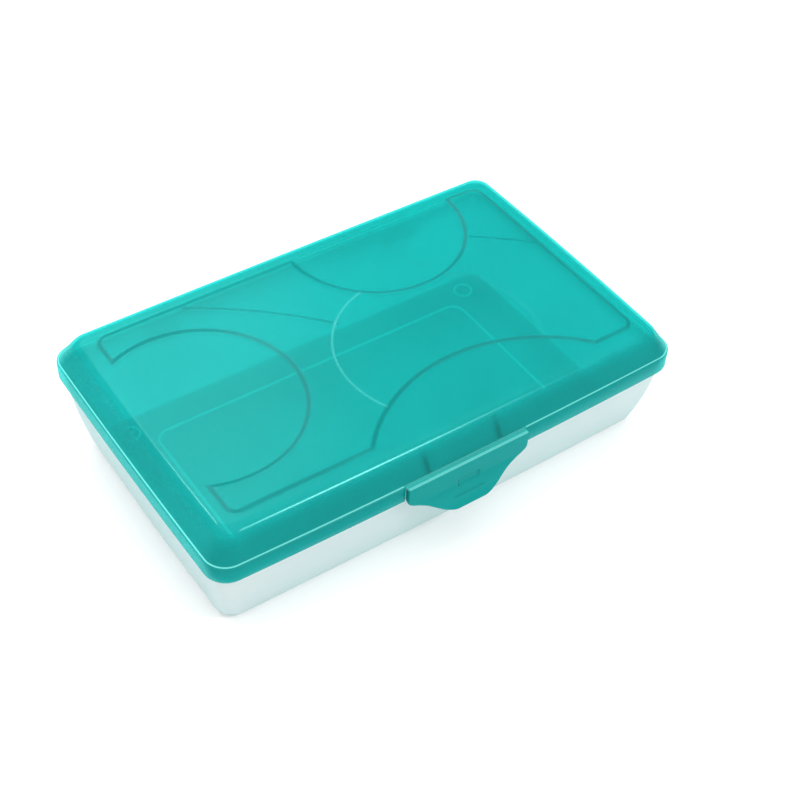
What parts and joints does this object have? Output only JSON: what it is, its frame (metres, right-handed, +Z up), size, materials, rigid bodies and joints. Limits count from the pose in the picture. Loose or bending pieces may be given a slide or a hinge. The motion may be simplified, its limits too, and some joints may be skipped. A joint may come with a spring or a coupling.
{
  "type": "pencil case",
  "caption": "Flat plastic pencil case: tapered translucent tray, hinged tinted lid with a raised round-cut panel, snap hinges at the back and a front latch flap.",
  "frame": {"origin": "centre of the whole object's footprint, on the surface that it stands on", "axes": "+X along the length, +Y from the latch at the front to the hinges at the back, +Z up"},
  "size_m": [0.292, 0.194, 0.073],
  "materials": {
    "teal_polypropylene": "translucent tinted polypropylene, satin with a fine mould texture",
    "teal_latch_polypropylene": "translucent tinted polypropylene, thicker and so darker, satin",
    "clear_polypropylene": "milky translucent polypropylene, satin"
  },
  "bodies": {
    "tray": {"base_tray": "clear_polypropylene", "hinge_pin_left": "clear_polypropylene", "hinge_pin_right": "clear_polypropylene"},
    "lid": {"lid_shell": "teal_polypropylene", "hinge_hook_left": "teal_polypropylene", "hinge_hook_right": "teal_polypropylene", "latch_hinge_web": "teal_polypropylene"},
    "latch": {"latch_flap": "teal_latch_polypropylene"}
  },
  "joints": [
    {"name": "lid_hinge", "type": "hinge", "parent": "tray", "child": "lid", "pos_m": [0, 0.0943, 0.0442], "axis": [-1, 0, 0], "range_deg": [0, 180]},
    {"name": "latch_hinge", "type": "hinge", "parent": "lid", "child": "latch", "pos_m": [0, -0.0887, 0.057], "axis": [-1, 0, 0], "range_deg": [0, 110], "deforming": ["latch_hinge_web"]}
  ]
}
